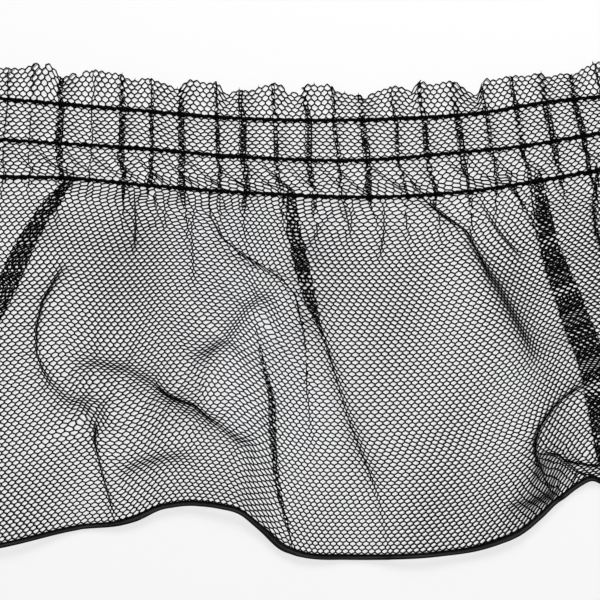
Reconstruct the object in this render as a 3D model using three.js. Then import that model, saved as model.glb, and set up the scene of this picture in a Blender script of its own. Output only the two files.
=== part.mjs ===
// A length of ruffled net trim, lying flat: one strip of hexagonal net, gathered by three
// parallel chain-stitched rows into a short frilled header and a full flounce, whose lower
// edge is closed by a folded satin binding held with one more stitch line.
//
// Millimetres. +X runs along the trim, +Y from the hem towards the raw frilled edge, and +Z
// up from the surface that the trim lies on. The origin is the middle of the box's bottom.

import * as THREE from "three";

// ---- driving dimensions ------------------------------------------------------------------

const halfLength = 70; // along the first gathering row, each way from the middle
const fanRadius = 440; // the trim lies in an arc of this radius, so the flounce fans out
const fanHeight = 38; // y at which a fan line's x is its distance along the first row

const netThickness = 0.3;
const threadWidth = { needle: 0.3, looper: 0.5 };
const clearance = 0.15; // between the net, the threads and the binding

const gatherCount = 22;
const tuckHeight = 1.5; // how far a gather's tuck stands up between the rows
const frillRise = 6.2; // raw edge above the first row
const frillWave = 0.9; // how far the raw edge wanders up and down

const bindingWidth = 1.9;
const tapeThickness = 0.25;
const bindingDepth = 1.2; // how far the net reaches into the folded tape

// Lines across the lying trim, as x and y of a few points on each, left to right.
const rowPoints = [
  [[-80, 43.4], [-62, 41.8], [-36, 39.6], [-12, 37.7], [21, 37.7], [38, 38.9], [62, 42.2], [80, 44.4]],
  [[-80, 34.9], [-62, 33.3], [-35, 31.6], [-10, 29.6], [12, 29.0], [33, 30.6], [62, 34.6], [80, 37.0]],
  [[-80, 26.8], [-62, 25.6], [-33, 23.9], [-10, 22.2], [21, 21.5], [38, 22.9], [62, 26.9], [80, 29.4]],
];
const hemPoints = [
  [-92, -55], [-75, -53.6], [-62, -51.5], [-46, -47.9], [-34, -46.2], [-25, -43.3], [-17, -43.7],
  [-9, -47.5], [-4, -52.2], [4, -53.8], [21, -54], [37, -52.1], [46, -49.2], [54, -42.8],
  [60, -39.4], [68, -38.6], [76, -42], [92, -50],
];

// Folds of the flounce: x below the third row, x at the hem, height, and half-width.
const flounceFolds = [
  { top: -58, hem: -76, height: 3.2, width: 4 },
  { top: -52, hem: -40, height: 2.2, width: 4 },
  { top: -20, hem: -14, height: 3.0, width: 4 },
  { top: -2, hem: 14, height: 3.6, width: 4 },
  { top: 27, hem: 46, height: 2.4, width: 5 },
  { top: 50, hem: 64, height: 4.0, width: 5 },
];

// ---- lines and heights -------------------------------------------------------------------

// y at x on the smooth line through the points.
function lineThrough(points) {
  const curve = new THREE.SplineCurve(points.map(([x, y]) => new THREE.Vector2(x, y)));
  const samples = curve.getPoints(400);
  return (x) => {
    const next = Math.min(Math.max(samples.findIndex((p) => p.x >= x), 1), samples.length - 1);
    const [a, b] = [samples[next - 1], samples[next]];
    return a.y + ((b.y - a.y) * (x - a.x)) / (b.x - a.x);
  };
}

const rows = rowPoints.map(lineThrough);
const hem = lineThrough(hemPoints);

function rawEdge(x) {
  return rows[0](x) + frillRise + frillWave * Math.sin(0.29 * x + 0.8) * Math.cos(0.11 * x);
}

// Where the fan line that starts at x0 on the first row crosses a line across the trim.
function onFan(x0, line) {
  let x = x0;
  for (let i = 0; i < 6; i++) x = x0 * (1 + (fanHeight - line(x)) / fanRadius);
  return new THREE.Vector2(x, line(x));
}

function foldHeight(x0, share) {
  return flounceFolds.reduce((sum, fold) => {
    const centre = THREE.MathUtils.lerp(fold.top, fold.hem, share) / (1 + (share * 85) / fanRadius);
    return sum + fold.height * Math.exp(-(((x0 - centre) / fold.width) ** 2));
  }, 0);
}

// ---- the net -----------------------------------------------------------------------------

const underRow = threadWidth.looper + clearance; // the looper thread lies beneath the net
const stitchGap = clearance / 3; // between the binding and its stitch threads
const underTape = threadWidth.needle + stitchGap;
const underHem = underTape + tapeThickness + clearance; // the folded tape's lower half too
const rowHalfWidth = 0.6; // the net is pinched level this far each side of a row

// Stations down the net: the line, the net's height there, how much of a gather's tuck and
// of the flounce's folds stands there.
const between = (a, b, t) => (x) => THREE.MathUtils.lerp(a(x), b(x), t);
const shifted = (line, dy) => (x) => line(x) + dy;
const pinched = (line) => [
  { line: shifted(line, rowHalfWidth), base: underRow, tuck: 0, fold: 0 },
  { line: shifted(line, -rowHalfWidth), base: underRow, tuck: 0, fold: 0 },
];
const edgeLevel = bindingDepth + 1.4; // the net runs level into the binding from here
const hemFold = 0.6; // share of the folds' height that the stiffer bound hem keeps
const stations = [
  { line: rawEdge, base: 0, tuck: 1, fold: 0 },
  ...pinched(rows[0]),
  { line: between(rows[0], rows[1], 0.35), base: 0, tuck: 1, fold: 0 },
  { line: between(rows[0], rows[1], 0.65), base: 0, tuck: 1, fold: 0 },
  ...pinched(rows[1]),
  { line: between(rows[1], rows[2], 0.5), base: 0, tuck: 1, fold: 0 },
  ...pinched(rows[2]),
  ...[0.07, 0.2, 0.4, 0.6, 0.8].map((share) => ({
    line: between(rows[2], hem, share),
    base: 0,
    tuck: Math.max(0, 1 - 4 * share),
    fold: Math.min(1, 4 * share) * THREE.MathUtils.lerp(1, hemFold, share),
    share,
  })),
  { line: shifted(hem, edgeLevel), base: underHem, tuck: 0, fold: hemFold, share: 1 },
  { line: hem, base: underHem, tuck: 0, fold: hemFold, share: 1 },
];

// One gather is a flat that lies down and a tuck that stands up, as shares of its pitch.
const gatherShape = [
  { at: 0, up: 0 },
  { at: 0.48, up: 0 },
  { at: 0.66, up: 1 },
  { at: 0.82, up: 1 },
];
const pitch = (2 * halfLength) / gatherCount;
const columns = [];
for (let gather = 0; gather < gatherCount; gather++) {
  for (const { at, up } of gatherShape) columns.push({ x0: (gather + at) * pitch - halfLength, up });
}
columns.push({ x0: halfLength, up: 0 });

function netPoint(column, station) {
  const { x, y } = onFan(column.x0, station.line);
  const folds = station.fold ? station.fold * foldHeight(column.x0, station.share) : 0;
  return new THREE.Vector3(x, y, station.base + station.tuck * column.up * tuckHeight + folds);
}

// ---- solids ------------------------------------------------------------------------------

function solidFrom(points, triangles) {
  const geometry = new THREE.BufferGeometry().setFromPoints(points);
  geometry.setIndex(triangles);
  geometry.computeVertexNormals();
  return geometry;
}

// A closed solid through rings of equally many points. Each ring goes anticlockwise seen
// from the first ring's end, and both ends are closed by the given triangles of one ring.
function loft(rings, cap) {
  const count = rings[0].length;
  const triangles = [];
  for (let i = 0; i + 1 < rings.length; i++) {
    for (let j = 0; j < count; j++) {
      const [a, b] = [i * count + j, i * count + ((j + 1) % count)];
      triangles.push(a, b + count, b, a, a + count, b + count);
    }
  }
  const last = (rings.length - 1) * count;
  for (const [a, b, c] of cap) triangles.push(a, b, c, last + a, last + c, last + b);
  return solidFrom(rings.flat(), triangles);
}

function netSolid() {
  const rings = columns.map((column) => {
    const under = stations.map((station) => netPoint(column, station));
    const over = under.map((p) => p.clone().add(new THREE.Vector3(0, 0, netThickness)));
    return [...under, ...over.reverse()];
  });
  const count = stations.length;
  const cap = [];
  for (let j = 0; j + 1 < count; j++) {
    const [a, b] = [j, 2 * count - 1 - j];
    cap.push([a, a + 1, b], [a + 1, b - 1, b]);
  }
  return loft(rings, cap);
}

// The hem's edge at each column, with the level direction square to it, away from the net.
const hemEdge = columns.map((column) => netPoint(column, stations.at(-1)));
const hemOut = hemEdge.map((_, i) => {
  const [a, b] = [hemEdge[Math.max(i - 1, 0)], hemEdge[Math.min(i + 1, hemEdge.length - 1)]];
  return new THREE.Vector3(b.y - a.y, a.x - b.x, 0).normalize();
});

// A solid of one section swept along the hem: the section is in outward and upward offsets
// from the net's edge.
function alongHem(section, cap) {
  const rings = hemEdge.map((edge, i) =>
    section.map(([out, up]) =>
      edge.clone().addScaledVector(hemOut[i], out).add(new THREE.Vector3(0, 0, up)),
    ),
  );
  return loft(rings, cap);
}

const slotLow = -clearance;
const slotHigh = netThickness + clearance;
const tapeLow = slotLow - tapeThickness;
const tapeHigh = slotHigh + tapeThickness;
const foldOut = clearance; // inside of the tape's fold, just past the net's edge
const tapeOut = bindingWidth - bindingDepth; // outside of the fold
const foldBevel = 0.2;

function bindingSolid() {
  const section = [
    [-bindingDepth, tapeHigh],
    [-bindingDepth, slotHigh],
    [foldOut, slotHigh],
    [foldOut, slotLow],
    [-bindingDepth, slotLow],
    [-bindingDepth, tapeLow],
    [tapeOut - foldBevel, tapeLow],
    [tapeOut, tapeLow + foldBevel],
    [tapeOut, tapeHigh - foldBevel],
    [tapeOut - foldBevel, tapeHigh],
  ];
  return alongHem(section, THREE.ShapeUtils.triangulateShape(toVectors(section), []));
}

function toVectors(points) {
  return points.map(([x, y]) => new THREE.Vector2(x, y));
}

// A stitch thread along the binding, with its middle at the given height over the net's edge.
function hemThread(width, middle) {
  const half = width / 2;
  const out = -bindingDepth / 2;
  const section = [
    [out - half, middle],
    [out, middle - half],
    [out + half, middle],
    [out, middle + half],
  ];
  return alongHem(section, [[0, 1, 2], [0, 2, 3]]);
}

// A gathering row's thread: a six-sided tube along the row at one height.
function rowThread(line, width, height) {
  const steps = 24;
  const path = [];
  for (let i = 0; i <= steps; i++) {
    const { x, y } = onFan(THREE.MathUtils.lerp(-halfLength, halfLength, i / steps), line);
    path.push(new THREE.Vector3(x, y, height));
  }
  const section = new THREE.Shape();
  for (let corner = 0; corner < 6; corner++) {
    const angle = (corner * Math.PI) / 3;
    const [x, y] = [(Math.cos(angle) * width) / 2, (Math.sin(angle) * width) / 2];
    if (corner) section.lineTo(x, y);
    else section.moveTo(x, y);
  }
  section.closePath();
  return new THREE.ExtrudeGeometry(section, {
    steps,
    curveSegments: 1,
    extrudePath: new THREE.CatmullRomCurve3(path),
  });
}

// ---- the assembly ------------------------------------------------------------------------

const black = { color: 0x0b0b0d, metalness: 0 };
const materials = {
  net: () => new THREE.MeshStandardMaterial({ ...black, roughness: 0.75, name: "net" }),
  thread: () => new THREE.MeshStandardMaterial({ ...black, roughness: 0.9, name: "thread" }),
  satin: () =>
    new THREE.MeshStandardMaterial({ color: 0x1c1c22, metalness: 0, roughness: 0.45, name: "satin" }),
};

const trim = new THREE.Group();
trim.name = "ruffled_net_trim";

function addPiece(name, geometry, material) {
  const piece = new THREE.Mesh(geometry, material);
  piece.name = name;
  trim.add(piece);
}

addPiece("net_ruffle", netSolid(), materials.net());

const needleHeight = underRow + netThickness + clearance + threadWidth.needle / 2;
rows.forEach((line, i) => {
  const needle = rowThread(line, threadWidth.needle, needleHeight);
  const looper = rowThread(line, threadWidth.looper, threadWidth.looper / 2);
  addPiece("gather_needle_thread_" + (i + 1), needle, materials.thread());
  addPiece("gather_looper_thread_" + (i + 1), looper, materials.thread());
});

addPiece("hem_binding", bindingSolid(), materials.satin());
const hemNeedle = tapeHigh + stitchGap + threadWidth.needle / 2;
const hemLooper = tapeLow - stitchGap - threadWidth.needle / 2;
addPiece("hem_needle_thread", hemThread(threadWidth.needle, hemNeedle), materials.thread());
addPiece("hem_looper_thread", hemThread(threadWidth.needle, hemLooper), materials.thread());

// The origin goes to the middle of the box's bottom.
const box = new THREE.Box3().setFromObject(trim);
const middle = box.getCenter(new THREE.Vector3());
for (const piece of trim.children) piece.position.set(-middle.x, -middle.y, -box.min.z);

export default trim;
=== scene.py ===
# A length of black ruffled net trim lying flat: a strip of hexagonal net gathered by three
# stitched rows into a frilled header and a full flounce, with a satin binding on its hem.
# Blender's units are metres; the lengths below that are in millimetres are turned into metres
# where each mesh is made.

import math

import bpy
import numpy as np
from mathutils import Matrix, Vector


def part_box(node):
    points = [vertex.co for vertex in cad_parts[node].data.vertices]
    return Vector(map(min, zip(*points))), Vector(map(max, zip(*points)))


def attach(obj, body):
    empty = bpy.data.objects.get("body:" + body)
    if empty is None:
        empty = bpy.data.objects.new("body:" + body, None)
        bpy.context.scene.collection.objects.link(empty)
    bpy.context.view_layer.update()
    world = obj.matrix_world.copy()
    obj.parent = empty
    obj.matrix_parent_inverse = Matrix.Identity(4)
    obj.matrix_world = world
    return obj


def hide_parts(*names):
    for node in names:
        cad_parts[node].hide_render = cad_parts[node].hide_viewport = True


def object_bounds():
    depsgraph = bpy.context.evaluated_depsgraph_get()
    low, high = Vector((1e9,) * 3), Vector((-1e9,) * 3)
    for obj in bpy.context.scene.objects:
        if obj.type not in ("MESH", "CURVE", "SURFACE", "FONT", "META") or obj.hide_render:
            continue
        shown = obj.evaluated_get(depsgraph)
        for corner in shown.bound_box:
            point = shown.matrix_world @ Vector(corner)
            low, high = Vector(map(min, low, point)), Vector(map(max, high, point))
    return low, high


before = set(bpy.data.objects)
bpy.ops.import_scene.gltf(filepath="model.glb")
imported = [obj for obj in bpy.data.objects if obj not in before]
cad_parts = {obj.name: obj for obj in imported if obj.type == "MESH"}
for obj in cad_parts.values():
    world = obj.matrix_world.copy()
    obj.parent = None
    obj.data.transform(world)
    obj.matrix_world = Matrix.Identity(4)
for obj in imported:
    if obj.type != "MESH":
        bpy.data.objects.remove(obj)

cad_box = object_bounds()

# ---- the table it lies on ----------------------------------------------------------------
# A plain white sheet of card, much larger than the trim, with its top where the trim's
# lowest point rests.

TABLE_SIDE = 4.0  # metres
bpy.ops.mesh.primitive_plane_add(size=TABLE_SIDE, location=(0, 0, cad_box[0][2]))
table = bpy.context.object
table.name = "table_top"
card = bpy.data.materials.new("white_card")
card.use_nodes = True
card_shader = card.node_tree.nodes["Principled BSDF"]
card_shader.inputs["Base Color"].default_value = (0.9, 0.9, 0.905, 1)
card_shader.inputs["Roughness"].default_value = 0.9
card_shader.inputs["Specular IOR Level"].default_value = 0.1
table.data.materials.append(card)

# ---- light -------------------------------------------------------------------------------
# A strong even light almost straight overhead, a broad weaker soft box beyond the frilled
# edge, and an even white room.


def lit_from(kind, name, place, strength):
    """A new light at a place, turned towards the middle of the trim."""
    bpy.ops.object.light_add(type=kind, location=place)
    lamp = bpy.context.object
    lamp.name = name
    lamp.data.energy = strength
    x, y, z = place
    lamp.rotation_euler = (math.atan2(math.hypot(x, y), z), 0, math.atan2(x, -y))
    return lamp.data


overhead = lit_from("SUN", "overhead_light", (0.01, 0.04, 1.0), 2.15)
overhead.angle = math.radians(4.5)
soft_box = lit_from("AREA", "soft_box_far", (0.06, 0.32, 0.36), 0.42)
soft_box.shape = "DISK"
soft_box.size = 0.25

room = bpy.data.worlds.new("white_room")
bpy.context.scene.world = room
room.use_nodes = True
white_wall = room.node_tree.nodes["Background"]
white_wall.inputs["Color"].default_value = (1, 1, 1, 1)
# The walls are dim as light, and look as white as the table where they are seen past it.
seen = room.node_tree.nodes.new("ShaderNodeLightPath")
brightness = room.node_tree.nodes.new("ShaderNodeMapRange")
brightness.inputs["To Min"].default_value = 0.08
brightness.inputs["To Max"].default_value = 0.9
room.node_tree.links.new(seen.outputs["Is Camera Ray"], brightness.inputs["Value"])
room.node_tree.links.new(brightness.outputs["Result"], white_wall.inputs["Strength"])
bpy.context.scene.view_settings.view_transform = "Standard"
bpy.context.scene.view_settings.look = "Medium High Contrast"

# ---- the net -----------------------------------------------------------------------------
# One strip of knitted nylon net with six-sided holes, cut straight and raw at its upper edge.
# Knife pleats gather it under three rows of stitches, and it lies in a shallow arc, so that
# the flounce fans out. All lengths here are in millimetres.

PITCH, ROW_SPACING = 1.60, 0.82  # of the holes, along and across the strip
LEG, PILLAR = 0.235, 0.33  # widths of a hole's slanting sides, and of its upright ones
THREAD_DEPTH = 0.17
STRIP_LENGTH = 218.0
ROW_1 = 6.2  # distances across the flat strip, from the raw edge to the rows and the hem
ROW_2 = ROW_1 + 8.9
ROW_3 = ROW_2 + 8.4
HEM = ROW_3 + 78.0
HALF_LENGTH = 70.0  # of the gathered strip, along the first row
FAN_RADIUS, FAN_HEIGHT = 440.0, 38.0  # of the arc that it lies in, near the first row


def line_through(points):
    """y at x on the smooth line through a few points, as on the lying trim."""
    x, y = np.array(points, float).T
    slope = np.gradient(y, x)

    def line(at):
        at = np.clip(at, x[0], x[-1])
        i = np.clip(np.searchsorted(x, at) - 1, 0, len(x) - 2)
        step = x[i + 1] - x[i]
        u = (at - x[i]) / step
        start = (1 + 2 * u) * (1 - u) ** 2 * y[i] + u * (1 - u) ** 2 * step * slope[i]
        end = u * u * (3 - 2 * u) * y[i + 1] + u * u * (u - 1) * step * slope[i + 1]
        return start + end

    return line


raw_edge = line_through([
    (-85, 50.5), (-70, 48.9), (-62.5, 48.3), (-58.3, 48.3), (-50.7, 47.8), (-49.8, 46.3),
    (-48.3, 46.6), (-45.8, 47.7), (-43.3, 47.9), (-40, 47.5), (-37.5, 47.1), (-35.4, 46),
    (-33.8, 45.8), (-32.5, 46.5), (-30, 45.6), (-27.1, 44.8), (-24.9, 44.2), (-24.2, 45),
    (-18.8, 45.1), (-16.5, 44.7), (-15.8, 43.4), (-13.3, 43.7), (-9.6, 43.8), (-7.9, 44.6),
    (-5.4, 45.1), (-3.3, 44.4), (-1.7, 43.5), (-0.2, 43.5), (0.6, 44.3), (4.2, 44.7), (6.5, 44.6),
    (7.2, 43.7), (9.2, 43.1), (12.1, 42.7), (14.2, 42.7), (16.7, 43.7), (18.8, 44.4), (21.7, 44.2),
    (23.5, 43.7), (24.3, 45.1), (27.1, 44.9), (32.5, 45.2), (33.8, 44.3), (35.8, 43.1),
    (37, 42.9), (37.9, 45.3), (40, 45.8), (44.2, 46.7), (47.1, 46.7), (50, 47.1), (51, 46.5),
    (54.2, 47.1), (57.1, 47.1), (58.3, 47.9), (60.4, 49), (62.5, 49.6), (70, 50.5), (85, 51),
])
rows = [
    line_through([(-80, 43.4), (-62, 41.8), (-36, 39.6), (-12, 37.7), (21, 37.7), (38, 38.9),
                  (52, 41.2), (62, 42.2), (80, 44.4)]),
    line_through([(-80, 34.9), (-62, 33.3), (-35, 31.6), (-10, 29.6), (12, 29.0), (33, 30.6),
                  (46, 31.9), (62, 34.6), (80, 37.0)]),
    line_through([(-80, 26.8), (-62, 25.6), (-48, 25.3), (-33, 23.9), (-10, 22.2), (21, 21.5),
                  (38, 22.9), (50, 24.8), (62, 26.9), (80, 29.4)]),
]
hem_line = line_through([
    (-95, -55), (-75, -53.6), (-62, -51.3), (-46, -47.7), (-37, -46.8), (-33, -45.6), (-29, -43.8),
    (-25, -43.0), (-21, -42.8), (-17, -43.3), (-12, -44.8), (-8.5, -47.7), (-4, -51.8), (0, -53.2),
    (10, -53.9), (21, -53.7), (29, -53.1), (37.5, -51.8), (42, -50.4), (46, -48.8), (50, -45.9),
    (54, -42.4), (58, -40.0), (63, -38.4), (68, -38.4), (76, -42), (95, -50),
])


def on_fan(x, y):
    """Distance along the first row of the fan line through a point."""
    return x / (1 + (FAN_HEIGHT - y) / FAN_RADIUS)


# A fold is a list of stations down the strip: how far down, where along the fan, how wide
# its three layers lie, and how tightly it turns. Knife pleats open out below the third row.
# Each of them has its place along the first row and its width here.
PLEATS = [
    (-68.5, 1.1), (-61.5, 0.7), (-56.3, 0.8), (-50, 2.1), (-43.7, 0.5), (-37.1, 1.8),
    (-31.2, 1.4), (-25, 2), (-17.3, 1.4), (-11.9, 2), (-5.2, 1.5), (1.5, 1.9), (7.1, 1.3),
    (12.9, 1.9), (19.8, 1.3), (25.8, 1.6), (32.7, 1.9), (38.8, 1.3), (45.2, 1.5), (51.5, 1.9),
    (57.7, 1.7), (63.5, 1.2), (68.5, 1),
]
TURN = 0.30


def pleat(x, width, fade, drift):
    """A knife pleat that opens out within twice the fade below the third row."""
    down = np.array([-2, 0.5 * ROW_1, ROW_1, ROW_2, ROW_3, ROW_3 + 0.5 * fade, ROW_3 + fade,
                     ROW_3 + 2 * fade, HEM])
    lean = x + 0.075 * (np.minimum(down, ROW_3 + 8) - ROW_1) + drift * np.sin(0.45 * down + x)
    share = np.array([0.8, 0.85, 1.05, 1.05, 0.85, 0.5, 0.2, 0, 0])
    return down, lean, width * share, np.full(len(down), TURN)


def flounce_fold(points):
    """A fold of the flounce from points on the lying trim: x, y, width, and turn."""
    stations = []
    for x, y, width, turn in points:
        top, bottom = rows[2](x), hem_line(x)
        down = ROW_3 + (top - y) / (top - bottom) * (HEM - ROW_3)
        stations.append((down, on_fan(x, y), width, turn))
    _, along, _, turn = stations[0]
    return np.array([(ROW_3 - 3, along, 0, turn), *stations]).T


rng = np.random.default_rng(5)
folds = [
    pleat(x, width, rng.uniform(4, 9), rng.uniform(-0.5, 0.5)) for x, width in PLEATS
]
folds += [flounce_fold(points) for points in (
    # the broad fold that leaves at the left
    [(-47.7, 25, 2, .3), (-50.6, 21.9, 4.2, .3), (-54.2, 17, 5, .35), (-57.9, 10.4, 5.8, .4),
     (-61.7, 2, 6, .4), (-68.8, -12.5, 5.4, .5), (-72.9, -27, 4, .8), (-77, -51, 1.8, 2)],
    # the narrow fold in the middle, and the crease that it runs out in
    [(-2.1, 21.6, 2.5, .3), (-1.3, 14.4, 3.8, .3), (0.2, 8, 4.4, .3), (1.7, 2, 3.8, .3),
     (3.4, -3.8, 2.3, .3), (5.4, -9.4, 1.3, .3), (7.5, -16.7, 1, .3), (9.8, -25, 0.85, .35),
     (13.8, -34.6, 0.6, .4), (16.5, -41.7, 0.4, .5), (18.8, -54, 0.2, .6)],
    # the short pleat that stands over the hem
    [(-7.9, -5, 0, .3), (-7.3, -10.4, 1, .3), (-6.5, -16.7, 1.5, .3), (-5.6, -21.3, 1.9, .3),
     (-5.6, -28, 2, .3), (-5, -35.8, 1.8, .3), (-4, -41.7, 1.6, .35), (-2.1, -48, 1.3, .6),
     (-0.8, -54, 0.7, 1)],
    # the broad fold at the right
    [(49.8, 24.4, 2.6, .3), (51, 18.3, 4, .3), (52.2, 11.7, 5, .35), (54, 6.5, 5.8, .35),
     (56.3, 1, 6.5, .4), (58.7, -6.3, 7, .4), (60.8, -13.5, 6.8, .45), (62, -21.3, 6, .5),
     (63.2, -28.3, 4.8, .6), (63.8, -34.4, 3.2, .9), (64.2, -41.7, 1.8, 2)],
    # the narrow ones on either side of it
    [(43.5, 24, 0.9, .3), (45.8, 20.8, 1.1, .3), (48.3, 17.5, 1, .3), (49.5, 15, 0.5, .3),
     (50, 12, 0, .3)],
    [(62, 26, 1.2, .3), (61.2, 20, 1.6, .3), (61.6, 15, 1.4, .3), (63.5, 9, 1, .3),
     (66, 0, 0.5, .4), (68, -10, 0, .5)],
    # the crease that slants across the middle
    [(-19, 21.6, 0.8, .3), (-18.5, 17.7, 1, .3), (-16.5, 13.3, 1.15, .3), (-12.5, 9.8, 1.2, .3),
     (-7.9, 7.2, 1.3, .3), (-4, 4.6, 1.4, .3), (-1, 1.2, 1.45, .3), (0.1, -4.2, 1.2, .3),
     (0.2, -9.6, 0.9, .3), (0.4, -15.6, 0.6, .35), (1.3, -25, 0.4, .5), (2.5, -35, 0, .6)],
    # the dark edge of the pocket at the right, and the crease above it
    [(57, -17.5, 0, .25), (52.7, -22.1, 0.7, .25), (50.5, -25, 1.1, .25), (49, -29, 1.4, .25),
     (49.3, -33, 1.3, .3), (50.5, -36, 0.8, .4), (54, -43, 0, .6)],
    [(24, 22.9, 0.9, .3), (28.8, 18.3, 1.3, .3), (32.1, 16, 1.2, .3), (35, 13.8, 0.8, .3),
     (37, 10, 0.4, .4), (38, 6, 0, .4)],
    # folds past the two ends of what is gathered most
    [(-75, 21, 0.8, .3), (-81.2, 0, 1.6, .4), (-85.4, -25, 1.9, .6), (-89.6, -54, 1.6, 2)],
    [(72.9, 23, 0.6, .3), (76.7, 0, 1.2, .4), (81.2, -25, 1.6, .6), (85.4, -50, 1.6, 2)],
    # broad soft swells that take up fullness without a crease
    [(-31.2, 20.8, 0.7, 9), (-27, -20, 0.8, 9), (-23, -46, 0.8, 9)],
    [(-10.4, 20.8, 1.4, 7), (-4, -10, 1.2, 7), (2, -50, 1, 7)],
    [(42, 20.8, 1.2, 6), (48, 0, 1.2, 6), (53, -45, 1, 6)],
)]


def fold_stations(down):
    """Place, width and turn of every fold at each distance down the strip."""
    return [np.array([np.interp(down, fold[0], fold[i]) for fold in folds]) for i in (1, 2, 3)]


def log_cosh(x):
    return np.abs(x) + np.log1p(np.exp(-2 * np.abs(x))) - math.log(2)


def gathered(along, down):
    """Where flat net points come along the fan, the sheet's layer there, and how far the fold
    at that point slides its upper layers across the strip."""
    levels, level_of = np.unique(np.round(down, 4), return_inverse=True)
    place, width, turn = fold_stations(levels)
    spread = 2 * HALF_LENGTH / (STRIP_LENGTH - 2 * width.sum(0))
    side = np.sign(place[:, None] - place[None])
    middle = place / spread + (side * width[None]).sum(1)
    moved, layer, slide = along.copy(), np.zeros_like(along), np.zeros_like(along)
    slides = np.random.default_rng(11).uniform(-0.45, 0.45, len(folds))
    for k in range(len(folds)):
        half, bend, at = width[k][level_of] / 2, turn[k][level_of], along - middle[k][level_of]
        moved -= bend * (log_cosh((at + half) / bend) - log_cosh((at - half) / bend))
        over = 1 + 0.5 * (np.tanh((at + half) / bend) + np.tanh((at - half) / bend))
        fade = np.exp(-((np.clip(np.abs(at) - 3 * half, 0, None) / (1.2 + half)) ** 2))
        share = np.clip(half / (1.2 * bend), 0, 1)
        layer += over * fade * share
        slide += (slides[k] + 0.2 * np.sin(0.5 * down + k)) * (over - 1) * fade * share
    return spread[level_of] * moved, layer, slide


def laid_out(along, down):
    """x and y of flat net points on the lying trim, before its loose creases."""
    fan, layer, slide = gathered(along, down)
    down = down + slide * np.clip(down / ROW_1, 0.3, 1)
    stops = [0, ROW_1, ROW_2, ROW_3, HEM]
    x = fan.copy()
    for _ in range(5):
        lines = [raw_edge(x), rows[0](x), rows[1](x), rows[2](x), hem_line(x)]
        spans = [
            lines[i] + (lines[i + 1] - lines[i]) * (down - stops[i]) / (stops[i + 1] - stops[i])
            for i in range(4)
        ]
        y = np.select([down < ROW_1, down < ROW_2, down < ROW_3], spans[:3], spans[3])
        x = fan * (1 + (FAN_HEIGHT - y) / FAN_RADIUS)
    return x, y, layer


# Creases that the loose flounce has fallen into: how hard the net is pushed together there,
# how wide the crease is, how high it stands, and its line.
CREASES = [
    # at the left, down to the hem: sharp, then soft, then sharp again
    (0.86, 2.6, 1, [(-48.8, 7.9), (-50.4, 5.2), (-53.5, -0.2), (-54.8, -5.6), (-54.8, -10.8),
                    (-53.5, -14.8), (-51.5, -17.8)]),
    (0.5, 4.5, 0.9, [(-54, -13), (-51.9, -17.3), (-49.2, -20), (-46, -22.1), (-44, -24.6),
                     (-43.1, -27.9), (-42.7, -32)]),
    (0.88, 2.2, 0.8, [(-43.3, -26), (-42.8, -29), (-42.2, -32.5), (-41.2, -36.5), (-39.9, -41),
                      (-38.6, -46)]),
    (0.45, 4, 0.6, [(-46, -20), (-41.5, -22.5), (-39.8, -28)]),
    # ripples across the left half
    (0.52, 6, 0.6, [(-48, -13.5), (-42.5, -13.1), (-36.1, -14.3), (-30.4, -17.1),
                    (-26.4, -19.6), (-20.8, -21.2)]),
    (0.65, 1.5, 0.4, [(-30, -17.2), (-26.4, -19.6), (-21.6, -21.4), (-18, -25)]),
    (0.55, 4, 0.6, [(-22, -20.8), (-18.8, -24), (-16, -26.8), (-12.8, -29.2), (-9.2, -29.6)]),
    (0.4, 4, 0.5, [(-31.2, -19.2), (-26, -21.3), (-21.9, -23.8), (-18.1, -27.1)]),
    (0.42, 4, 0.5, [(-38, -36), (-33.5, -34), (-28, -32.7), (-22, -32.2)]),
    (0.52, 5.5, 0.6, [(-4.8, 0.5), (-8.8, 0.1), (-11.2, -1.9), (-13.2, -5.1), (-15.2, -8.3),
                      (-19.2, -10.7), (-23, -12.5)]),
    # along the fold that slants across the middle
    (0.85, 1.1, 0.4, [(-19, 19), (-16, 12.8), (-12, 9.6), (-7.9, 7.1), (-4, 4.5), (-1, 1.1),
                      (0.1, -4.2), (0.3, -9)]),
    # at the right, from the third row down
    (0.75, 2.4, 0.8, [(24, 22.5), (28.8, 18.3), (32.1, 16), (35, 13.8), (36.9, 10.4),
                      (38.1, 6.9), (39, 3)]),
    (0.62, 5.5, 1, [(34, 14), (37.5, 8.5), (41, 3), (44, -2.5), (47, -8), (49.5, -13)]),
    (0.8, 1.6, 0.6, [(37, 22.9), (38.5, 19), (40.5, 15.5), (43, 12.3), (46, 9)]),
    # the pocket beside the broad fold at the right
    (0.85, 2.2, 1, [(60.4, -17.5), (57.7, -18.1), (54.8, -20), (52.7, -22.1), (51, -24.4),
                    (49.6, -26.7), (48.8, -29.2), (48.8, -31.7), (49.4, -33.8), (50.8, -36.7)]),
    (0.93, 3.4, 0.8, [(49.7, -31.3), (54.5, -32.4), (59.3, -33.2), (64, -34)]),
    (0.9, 3, 0.6, [(53.6, -33), (57.7, -35.8), (62.5, -37)]),
    # below the narrow fold in the middle
    (0.55, 4.5, 0.9, [(3.6, -3.5), (6.4, -12.3), (10.4, -25.2), (12.8, -31.6), (16.5, -40)]),
    # short ones under the third row
    (0.92, 1.8, 0.5, [(-34.6, 23.4), (-34.2, 15.6), (-34.4, 9.9)]),
    (0.85, 1.3, 0.4, [(-28.3, 22.3), (-28.1, 14.6)]),
    (0.85, 1.5, 0.5, [(-21.5, 22.3), (-22.6, 14.4), (-22, 3)]),
    (0.85, 1.4, 0.5, [(10.8, 20.8), (10.4, 13.1)]),
    (0.7, 0.9, 0.5, [(7.1, 19.6), (4.2, 15), (1, 10.4)]),
    (0.92, 1.8, 0.5, [(17.4, 21.5), (17.5, 14.4), (16.5, 8)]),
    (0.4, 2.6, 0.8, [(42.7, -42.7), (47.9, -42.1), (54.2, -40)]),
]
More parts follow.
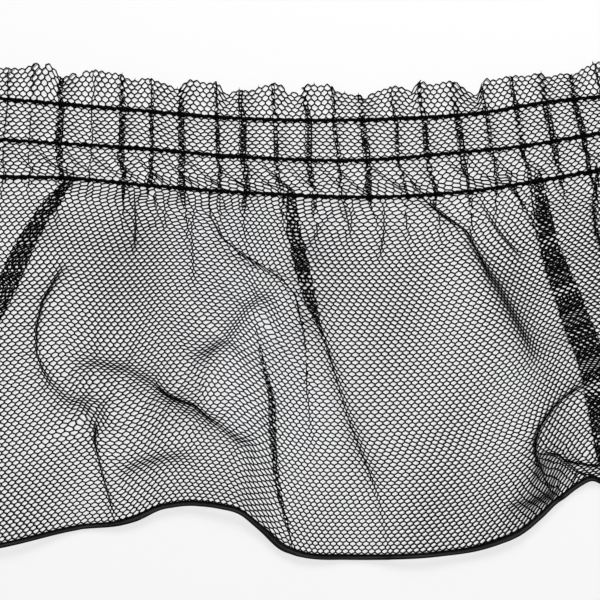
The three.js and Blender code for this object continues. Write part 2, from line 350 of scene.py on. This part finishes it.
# The lines of the two broad folds, which lie flatter than the single net beside them.
HEAVY_LINES = [
    [(-47.7, 25), (-54.2, 17), (-61.7, 2), (-68.8, -12.5), (-74, -35)],
    [(49.8, 24.4), (54, 6.5), (58.7, -6.3), (62, -21.3), (63.8, -34.4)],
]
# Between the second and third rows the net is pulled askew into slanting lines.
for x in np.arange(-66, 60, 5.3):
    start = x + rng.uniform(-1, 1)
    run = rng.uniform(5, 8)
    CREASES.append((rng.uniform(0.7, 0.92), 0.95, 0.3, [
        (start, rows[1](start) - 0.8), (start + 0.5 * run, rows[1](start + 0.5 * run) - 4.2),
        (start + run, rows[2](start + run) + 0.8),
    ]))


def nearest_on(x, y, points):
    """Distance to a line of points, the direction away from it, and how far along it lies."""
    points = np.array(points, float)
    steps = np.diff(points, axis=0)
    lengths = np.hypot(*steps.T)
    start = np.concatenate([[0], np.cumsum(lengths)])
    best, out_x, out_y, share = np.full(x.shape, 1e9), *(np.zeros_like(x) for _ in range(3))
    for i, (dx, dy) in enumerate(steps / lengths[:, None]):
        from_x, from_y = x - points[i, 0], y - points[i, 1]
        run = np.clip(from_x * dx + from_y * dy, 0, lengths[i])
        off_x, off_y = from_x - run * dx, from_y - run * dy
        gap = np.hypot(off_x, off_y)
        nearer = gap < best
        for kept, new in ((best, gap), (out_x, off_x), (out_y, off_y),
                          (share, (start[i] + run) / start[-1])):
            kept[nearer] = new[nearer]
    return best, out_x, out_y, share


def creased(x, y):
    """Pushes the net together along the creases, and says how high they raise it."""
    raised = np.zeros_like(x)
    for push, width, height, points in CREASES:
        gap, out_x, out_y, share = nearest_on(x, y, points)
        ends = np.sqrt(np.clip(share / 0.2, 0, 1) * np.clip((1 - share) / 0.2, 0, 1))
        pull = ends * push / (1 + (gap / width) ** 2) ** 1.5
        x, y = x - out_x * pull, y - out_y * pull
        raised += ends * height / (1 + (gap / (1.6 * width)) ** 2) ** 2
    return x, y, raised


TABLE_GAP, LAYER_RISE = 0.25, 0.26  # under the lowest layer, and from one to the next
ROW_PINCH, PINCH_REACH = 0.35, 0.8  # how much, and how near, a row draws the net to itself
ROW_RISE, ROW_REACH = 0.45, 0.9  # the net stands a little higher under each row
LOOSENING = 14.0  # below the third row, before the flounce lies fully free
HEAVY_SHARE, HEAVY_REACH = 0.75, 7.0  # how much flatter a broad fold lies, and how far round
PUFF_RISE, FRILL_RISE = 0.7, 2.0  # of the header between rows, and of the raw edge


def lying(along, down):
    """Flat net points as they lie on the table: x, y and z in millimetres."""
    along, down = np.broadcast_arrays(np.asarray(along, float), np.asarray(down, float))
    x, y, layer = laid_out(along.ravel(), down.ravel())
    shape, down = along.shape, down.ravel()
    for row in rows:
        off = y - row(x)
        y = y - ROW_PINCH * off / (1 + (off / PINCH_REACH) ** 2) ** 2
    x, y, raised = creased(x, y)
    loose = np.clip((down - ROW_3) / LOOSENING, 0, 1)
    swell = 1.45 + 0.7 * np.sin(0.13 * x + 0.05 * y) + 0.4 * np.sin(0.31 * x - 0.11 * y + 1)
    for points in HEAVY_LINES:
        gap = nearest_on(x, y, points)[0]
        swell *= 1 - HEAVY_SHARE * np.exp(-((gap / HEAVY_REACH) ** 2))
    z = TABLE_GAP + LAYER_RISE * layer + loose * (swell + raised) + (1 - loose) * 0.3 * raised
    for line_at in (ROW_1, ROW_2, ROW_3):
        z += ROW_RISE * np.exp(-(((down - line_at) / ROW_REACH) ** 2))
    puff = 0.5 + 0.5 * np.sin(1.02 * x + 0.6 * np.sin(0.3 * x))
    for low, high in ((ROW_1, ROW_2), (ROW_2, ROW_3)):
        share = np.clip((down - low) / (high - low), 0, 1)
        z += PUFF_RISE * puff * np.sin(math.pi * share) ** 2
    z += FRILL_RISE * puff * np.clip(1 - down / ROW_1, 0, 1) ** 1.5
    return np.stack([x, y, z], -1).reshape(*shape, 3)


# Each hole's upright side has a top and a bottom node, and each node joins three threads.
row_count = int(HEM / ROW_SPACING)
column_reach = int(STRIP_LENGTH / PITCH / 2) + 2
rise = 0.46 * ROW_SPACING  # across the strip, from one end of a slanting side to the other
hole_row, hole_column = np.meshgrid(
    np.arange(-1, row_count + 2), np.arange(-column_reach, column_reach + 1), indexing="ij"
)
hole_along = (hole_column + 0.5 * (hole_row % 2)) * PITCH
hole_down = hole_row * ROW_SPACING + HEM - row_count * ROW_SPACING
flat_along = np.stack([hole_along, hole_along], -1)
half_upright = (ROW_SPACING - rise) / 2
flat_down = np.stack([hole_down - half_upright, hole_down + half_upright], -1)

# ---- the net, as a mesh ------------------------------------------------------------------
# Every thread between two nodes is a four-sided bar with a ridge above and below. Bars meet
# in shared corners, so the whole net is one closed surface, and cut threads are closed off.

row_1_low, row_1_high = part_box("gather_needle_thread_1")
half_thread = 0.15  # from that node's edge to its centre line
bed_x = 500 * (row_1_low[0] + row_1_high[0])
bed_y = 1000 * row_1_low[1] + half_thread - rows[0](np.linspace(-69, 69, 400)).min()
bed_z = 1000 * cad_box[0][2]


def to_metres(points):
    """Millimetres on the lying trim to metres in the model's frame."""
    return (np.asarray(points) + (bed_x, bed_y, bed_z)) / 1000


def mesh_piece(name, points, faces, material):
    """A smooth-shaded object, from points in metres and faces of four corners each."""
    mesh = bpy.data.meshes.new(name)
    faces = np.asarray(faces, np.int32)
    mesh.vertices.add(len(points))
    mesh.vertices.foreach_set("co", np.asarray(points, np.float32).ravel())
    mesh.loops.add(faces.size)
    mesh.loops.foreach_set("vertex_index", faces.ravel())
    mesh.polygons.add(len(faces))
    face_starts = np.arange(0, faces.size, faces.shape[1], dtype=np.int32)
    mesh.polygons.foreach_set("loop_start", face_starts)
    mesh.update(calc_edges=True)
    mesh.polygons.foreach_set("use_smooth", np.full(len(faces), True))
    mesh.materials.append(material)
    piece = bpy.data.objects.new(name, mesh)
    bpy.context.scene.collection.objects.link(piece)
    return piece


def unit(vectors):
    return vectors / np.maximum(np.linalg.norm(vectors, axis=-1, keepdims=True), 1e-9)


nodes = lying(flat_along, flat_down)  # row, column, top or bottom, x y z
odd = (hole_row % 2).astype(bool)[..., None]


def shifted(points, rows_down, columns):
    """What each node's neighbour holds, so many rows down and columns to the right."""
    return np.roll(points, (-rows_down, -columns), (0, 1))


top, bottom = nodes[:, :, 0], nodes[:, :, 1]
upper_left = np.where(odd, shifted(bottom, -1, 0), shifted(bottom, -1, -1))
upper_right = np.where(odd, shifted(bottom, -1, 1), shifted(bottom, -1, 0))
lower_left = np.where(odd, shifted(top, 1, 0), shifted(top, 1, -1))
lower_right = np.where(odd, shifted(top, 1, 1), shifted(top, 1, 0))
# The three neighbours of each node, anticlockwise from above, the upright one first.
around = np.stack([
    np.stack([bottom, upper_right, upper_left], 2),
    np.stack([top, lower_left, lower_right], 2),
], 2)
rightward = np.stack([upper_right - upper_left, lower_right - lower_left], 2)
upward = np.stack([
    (upper_left + upper_right) / 2 - bottom, top - (lower_left + lower_right) / 2
], 2)
facing = unit(np.cross(rightward, upward))
toward = unit(around - nodes[..., None, :])
left_of = np.cross(facing[..., None, :], toward)
between = unit(left_of - np.roll(left_of, -1, axis=3))
mitre = np.maximum((between * left_of).sum(-1, keepdims=True), 0.5)
half_width = np.array([(LEG + PILLAR) / 4, LEG / 2, (LEG + PILLAR) / 4])[:, None]
corners = nodes[..., None, :] + between * half_width / mitre
ridges = facing[..., None, :] * np.array([THREAD_DEPTH / 2, -THREAD_DEPTH / 2])[:, None]
net_points = np.concatenate([nodes[..., None, :] + ridges, corners], 3).reshape(-1, 3)

node_number = np.arange(nodes[..., 0].size).reshape(nodes.shape[:3])
inside = (np.abs(flat_along) <= STRIP_LENGTH / 2) & (flat_down >= 0) & (flat_down <= HEM)
# Some threads at the raw edge are cut short, and a few stand out of it.
at_edge = np.random.default_rng(3).random(inside.shape)
inside &= (flat_down > 0.3 * ROW_SPACING) | (at_edge > 0.12)
inside |= (flat_down < 0) & (flat_down > -0.6 * ROW_SPACING) & (at_edge > 0.9) & (
    np.abs(flat_along) < STRIP_LENGTH / 2
)

top_number, bottom_number = node_number[..., 0], node_number[..., 1]
flat_odd = odd[..., 0]
next_left = np.where(flat_odd, shifted(top_number, 1, 0), shifted(top_number, 1, -1))
next_right = np.where(flat_odd, shifted(top_number, 1, 1), shifted(top_number, 1, 0))
bars = np.concatenate([
    np.stack([a.ravel(), np.full(a.size, slot_a), b.ravel(), np.full(a.size, slot_b)], 1)
    for a, slot_a, b, slot_b in (
        (top_number, 0, bottom_number, 0),
        (bottom_number, 1, next_left, 1),
        (bottom_number, 2, next_right, 2),
    )
])
kept = inside.ravel()
bars = bars[kept[bars[:, 0]] & kept[bars[:, 2]]]
a, slot_a, b, slot_b = bars.T
left_a, right_a = 5 * a + 2 + slot_a, 5 * a + 2 + (slot_a - 1) % 3
left_b, right_b = 5 * b + 2 + slot_b, 5 * b + 2 + (slot_b - 1) % 3
over_a, under_a, over_b, under_b = 5 * a, 5 * a + 1, 5 * b, 5 * b + 1
bar_faces = np.stack([
    np.stack([over_a, over_b, right_b, left_a], 1),
    np.stack([over_a, right_a, left_b, over_b], 1),
    np.stack([under_a, left_a, right_b, under_b], 1),
    np.stack([under_a, under_b, left_b, right_a], 1),
], 1)
joined = np.zeros((nodes[..., 0].size, 3), bool)
joined[a, slot_a] = joined[b, slot_b] = True
cut, cut_slot = np.nonzero(~joined & joined.any(1)[:, None])
cut_faces = np.stack([
    5 * cut + 2 + (cut_slot - 1) % 3, 5 * cut + 1, 5 * cut + 2 + cut_slot, 5 * cut
], 1)


def black_cloth(name, roughness, specular, texture_kind, texture_scale):
    """A material whose texture, in object coordinates, is ready to be its relief."""
    material = bpy.data.materials.new(name)
    material.use_nodes = True
    tree = material.node_tree
    shader = tree.nodes["Principled BSDF"]
    shader.inputs["Roughness"].default_value = roughness
    shader.inputs["Specular IOR Level"].default_value = specular
    coordinates = tree.nodes.new("ShaderNodeTexCoord")
    texture = tree.nodes.new(texture_kind)
    texture.inputs["Scale"].default_value = texture_scale
    tree.links.new(coordinates.outputs["Object"], texture.inputs["Vector"])
    return material, shader, coordinates, texture


def raised_by(texture, shader, strength, height):
    """Bumps a shader's surface by a texture, up to a height in metres."""
    tree = shader.id_data
    bump = tree.nodes.new("ShaderNodeBump")
    bump.inputs["Strength"].default_value = strength
    bump.inputs["Distance"].default_value = height
    tree.links.new(texture.outputs["Fac"], bump.inputs["Height"])
    tree.links.new(bump.outputs["Normal"], shader.inputs["Normal"])


# Black nylon: dull, a little uneven in tone, with the fine rib of a twisted thread.
net_nylon, nylon, coordinates, ribs = black_cloth(
    "black_net_nylon", 0.7, 0.12, "ShaderNodeTexNoise", 9000
)
raised_by(ribs, nylon, 0.35, 0.00003)
tree = net_nylon.node_tree
mottle = tree.nodes.new("ShaderNodeTexNoise")
mottle.inputs["Scale"].default_value = 900
mottle.inputs["Detail"].default_value = 3
tones = tree.nodes.new("ShaderNodeValToRGB")
dark, light = tones.color_ramp.elements
dark.position = 0.3
dark.color = (0.0015, 0.0015, 0.002, 1)
light.position = 0.75
light.color = (0.005, 0.005, 0.006, 1)
tree.links.new(coordinates.outputs["Object"], mottle.inputs["Vector"])
tree.links.new(mottle.outputs["Fac"], tones.inputs["Fac"])
tree.links.new(tones.outputs["Color"], nylon.inputs["Base Color"])

# The strip is one cloth; its mesh is kept as three pieces that meet end to end, parted
# under the third row and down the middle of the flounce, with every parted thread closed.
node_part = np.where(flat_down < ROW_3, 0, np.where(flat_along < 0, 1, 2)).ravel()
mouths = np.stack([left_b, under_b, right_b, over_b], 1)
# The width and depth of the flat strip in each piece, in millimetres.
net_parts = {
    "net_header": (STRIP_LENGTH, ROW_3),
    "net_flounce_left": (STRIP_LENGTH / 2, HEM - ROW_3),
    "net_flounce_right": (STRIP_LENGTH / 2, HEM - ROW_3),
}
for part, (name, (width, depth)) in enumerate(net_parts.items()):
    at_a, at_b = node_part[a] == part, node_part[b] == part
    faces = np.concatenate([
        bar_faces[at_a].reshape(-1, 4),
        cut_faces[node_part[cut] == part],
        mouths[at_a & ~at_b],
        mouths[at_b & ~at_a][:, ::-1],
    ])
    used, faces = np.unique(faces, return_inverse=True)
    faces = faces.reshape(-1, 4)
    piece = mesh_piece(name, to_metres(net_points[used]), faces, net_nylon)
    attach(piece, "root")
    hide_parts("net_ruffle")

# ---- threads, as meshes --------------------------------------------------------------------
# A thread is a ribbed tube swept along its path; a few loose fibres stand out of it. The same
# sweep makes the folded tape of the hem.


def beside(path):
    """Unit directions to the left of a path, and upward from it, at each of its points."""
    ahead = unit(np.gradient(path, axis=0))
    left = unit(np.cross((0, 0, 1), ahead))
    return left, np.cross(ahead, left)


def swept(path, across, up):
    """Points and faces of a closed bar: offsets to the left of the path and upward from it."""
    left, above = beside(path)
    points = path[:, None] + across[..., None] * left[:, None] + up[..., None] * above[:, None]
    stations, sides = across.shape
    ring = np.arange(sides)
    start = sides * np.arange(stations - 1)[:, None]
    following = np.roll(ring, -1)
    walls = np.stack([start + ring, start + sides + ring, start + sides + following,
                      start + following], -1).reshape(-1, 4)
    half = np.arange(sides // 2 - 1)
    cap = np.stack([half, half + 1, sides - 2 - half, sides - 1 - half], 1)
    far_cap = cap[:, ::-1] + sides * (stations - 1)
    return points.reshape(-1, 3), np.concatenate([walls, cap, far_cap])


def distance_along(path):
    return np.concatenate([[0], np.cumsum(np.linalg.norm(np.diff(path, axis=0), axis=1))])


def evenly(path, spacing):
    """The path at even spacing along its length."""
    run = distance_along(path)
    stops = np.linspace(0, run[-1], int(run[-1] / spacing) + 1)
    return np.stack([np.interp(stops, run, path[:, i]) for i in range(3)], 1)


def thread_tube(path, radius, ply_length, sides=8, rib=0.14):
    """A two-ply thread: its radius rises and falls with the twist."""
    turn = 2 * math.pi * np.arange(sides) / sides
    twist = 2 * math.pi * distance_along(path) / ply_length
    reach = radius * (1 + rib * np.cos(2 * turn - twist[:, None]))
    return swept(path, -reach * np.cos(turn), reach * np.sin(turn))


def loose_fibres(path, radius, spacing, longest, rng):
    """Short fine hairs that leave a thread, each a thin tube that tapers and curls."""
    fibres = []
    for at in rng.integers(0, len(path) - 1, int(distance_along(path)[-1] / spacing)):
        ahead = path[at + 1] - path[at]
        heading = math.atan2(ahead[1], ahead[0]) + rng.choice((-1, 1)) * rng.uniform(0.3, 1.5)
        bend, length = rng.uniform(-1.2, 1.2), rng.uniform(0.3, 1) * longest
        run = np.linspace(0, 1, 6)
        way = heading + bend * run
        climb = rng.uniform(0, 0.3) * run * (1 - run)
        hair = path[at] + length * np.stack([
            np.cumsum(np.cos(way)) / 6, np.cumsum(np.sin(way)) / 6, climb
        ], 1)
        turn = 0.5 * math.pi * np.arange(4)
        reach = (radius * (1 - 0.6 * run))[:, None]
        fibres.append(swept(hair, -reach * np.cos(turn), reach * np.sin(turn)))
    return fibres


def together(parts):
    """Several point-and-face lists as one."""
    starts = np.cumsum([0] + [len(points) for points, _ in parts])
    faces = [faces + start for (_, faces), start in zip(parts, starts)]
    return np.concatenate([points for points, _ in parts]), np.concatenate(faces)


# Black spun polyester: matt, with a fine fuzz over the ribs of its twist.
spun_thread, spun, _, fuzz = black_cloth(
    "black_spun_thread", 0.75, 0.1, "ShaderNodeTexNoise", 7000
)
spun.inputs["Base Color"].default_value = (0.002, 0.002, 0.0024, 1)
fuzz.inputs["Detail"].default_value = 4
raised_by(fuzz, spun, 0.5, 0.00004)

# ---- the three gathering rows --------------------------------------------------------------
# Each row is a chain stitch: a needle thread that runs over the pleats and dips through them
# at every stitch, and a looper thread that makes a chain of loops underneath.

STITCH = 2.1
NEEDLE_RADIUS, LOOPER_RADIUS = 0.21, 0.18
CHAIN_REACH, CHAIN_WIDTH = 0.75, 0.34  # how far a loop swings along the row and across it
CHAIN_HEIGHT, CHAIN_RISE = 0.46, 0.17  # of the loops above the table, and how it varies
thread_rng = np.random.default_rng(21)
for number, (row, row_down) in enumerate(zip(rows, (ROW_1, ROW_2, ROW_3)), 1):
    fan = np.arange(-HALF_LENGTH + 0.4, HALF_LENGTH - 0.4, 0.11)
    x = fan.copy()
    for _ in range(4):
        x = fan * (1 + (FAN_HEIGHT - row(x)) / FAN_RADIUS)
    cloth = lying(np.linspace(-STRIP_LENGTH / 2, STRIP_LENGTH / 2, 3000), row_down)
    near = np.abs(cloth[None, :, 0] - x[:, None]) < 0.5
    top = np.where(near, cloth[None, :, 2], 0).max(1)
    top = np.convolve(np.pad(top, 6, "edge"), np.full(13, 1 / 13), "valid")
    dip = np.cos(math.pi * fan / STITCH) ** 12
    wander = 0.05 * np.sin(1.3 * x) + 0.04 * np.sin(3.1 * x + number)
    needle_path = np.stack([x, row(x) + wander, top + 0.2 - 0.42 * dip], 1)
    points, faces = together([
        thread_tube(needle_path, NEEDLE_RADIUS, 0.8),
        *loose_fibres(needle_path, 0.022, 0.8, 1.5, thread_rng),
    ])
    needle = mesh_piece(f"needle_thread_{number}", to_metres(points), faces, spun_thread)

    phase = 2 * math.pi * fan / STITCH
    chain_x = x + CHAIN_REACH * np.sin(phase)
    chain_y = row(chain_x) + CHAIN_WIDTH * np.cos(phase)
    chain_path = np.stack([chain_x, chain_y, CHAIN_HEIGHT + CHAIN_RISE * np.sin(phase)], 1)
    chain_path = evenly(chain_path, 0.13)
    points, faces = together([
        thread_tube(chain_path, LOOPER_RADIUS, 0.9),
        *loose_fibres(chain_path, 0.02, 1.5, 1.1, thread_rng),
    ])
    looper = mesh_piece(f"looper_thread_{number}", to_metres(points), faces, spun_thread)

    for piece, kind in ((needle, "needle"), (looper, "looper")):
        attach(piece, "root")
        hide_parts(f"gather_{kind}_thread_{number}")

# ---- the hem binding -----------------------------------------------------------------------
# A narrow satin tape folded over the cut edge of the net. It follows the waves of the hem,
# rolls a little, and spreads wider where the flounce turns sharply.

TAPE_HALF, TAPE_SLIT = 0.36, 0.13  # outer and inner half thickness of the folded tape
hem_path = lying(np.linspace(-STRIP_LENGTH / 2, STRIP_LENGTH / 2, 1600), HEM)
hem_path = evenly(hem_path, 0.24)
weights = np.hanning(9)[1:-1] / np.hanning(9)[1:-1].sum()
hem_path[3:-3] = np.stack([np.convolve(hem_path[:, i], weights, "valid") for i in range(3)], 1)
hem_x = hem_path[:, 0]
tape_reach = 0.82 + sum(
    extra * np.exp(-(((hem_x - at) / spread) ** 2))
    for at, extra, spread in ((-34, 0.3, 4), (-4.5, 0.42, 4), (43.5, 0.25, 6), (0, 0.1, 40))
)
roll = 0.3 + 0.12 * np.sin(0.21 * hem_x) - 0.2 * np.exp(-(((hem_x + 4.5) / 6) ** 2))
# Its section: round the outside from the lower lip to the upper one, and back in the slit.
edge_up = np.array([-1, -1.04, -1, -0.72, 0, 0.72, 1, 1.04, 1])
edge_in = np.array([1, 0.55, 0.12, -0.13, -0.2, -0.13, 0.12, 0.55, 1])
slit_in = np.array([1, 0.65, 0.34, 0.2, 0.15, 0.2, 0.34, 0.65, 1])
slit_up = np.array([1, 1, 1, 0.7, 0, -0.7, -1, -1, -1])
section_in = np.concatenate([edge_in, slit_in])[None]
FOLD_DEPTH = 0.3  # beyond this the section widens with the tape
across = section_in * np.where(section_in > FOLD_DEPTH, tape_reach[:, None], 1)
up = np.concatenate([TAPE_HALF * edge_up, TAPE_SLIT * slit_up])[None] * np.ones((len(hem_x), 1))
turned_across = across * np.cos(roll)[:, None] + up * np.sin(roll)[:, None]
turned_up = up * np.cos(roll)[:, None] - across * np.sin(roll)[:, None]
points, faces = swept(hem_path, turned_across, turned_up)

# Black satin: a soft sheen over a fine slanting weave.
black_satin, satin, coordinates, weave = black_cloth(
    "black_satin", 0.45, 0.2, "ShaderNodeTexWave", 2200
)
satin.inputs["Base Color"].default_value = (0.004, 0.004, 0.0055, 1)
weave.inputs["Distortion"].default_value = 0.6
raised_by(weave, satin, 0.3, 0.00003)
tree = black_satin.node_tree
slanted = tree.nodes.new("ShaderNodeMapping")
slanted.inputs["Rotation"].default_value = (0, 0, 0.6)
tree.links.new(coordinates.outputs["Object"], slanted.inputs["Vector"])
tree.links.new(slanted.outputs["Vector"], weave.inputs["Vector"])

binding = mesh_piece("hem_tape", to_metres(points), faces, black_satin)
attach(binding, "root")
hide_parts("hem_binding")

# ---- the hem stitches ----------------------------------------------------------------------
# One line of fine stitches holds the tape: the needle thread on its upper face, and the
# looper thread on the lower one.

HEM_THREAD_RADIUS = 0.09
stitch_run = distance_along(hem_path)
dip = np.cos(math.pi * stitch_run / STITCH) ** 10
inward = 0.62 * tape_reach
left, above = beside(hem_path)
for name, side in (("needle", 1), ("looper", -1)):
    height = side * (TAPE_HALF * 1.02 + 0.05 - 0.16 * dip)
    shift_left = inward * np.cos(roll) + height * np.sin(roll)
    shift_up = height * np.cos(roll) - inward * np.sin(roll)
    seam = hem_path + shift_left[:, None] * left + shift_up[:, None] * above
    points, faces = thread_tube(evenly(seam, 0.12), HEM_THREAD_RADIUS, 0.6, sides=6)
    seam_thread = mesh_piece(f"hem_{name}_stitches", to_metres(points), faces, spun_thread)
    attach(seam_thread, "root")
    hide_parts(f"hem_{name}_thread")

# ---- camera ------------------------------------------------------------------------------
# Straight above the trim, with the frilled edge away from the viewer.

VIEW_WIDTH, CAMERA_HEIGHT, SENSOR = 125.0, 620.0, 36.0
lens = bpy.data.cameras.new("overhead_camera")
lens.sensor_width = SENSOR
lens.lens = SENSOR * CAMERA_HEIGHT / VIEW_WIDTH
camera = bpy.data.objects.new("overhead_camera", lens)
bpy.context.scene.collection.objects.link(camera)
camera.location = to_metres((0, 0, CAMERA_HEIGHT))
bpy.context.scene.camera = camera
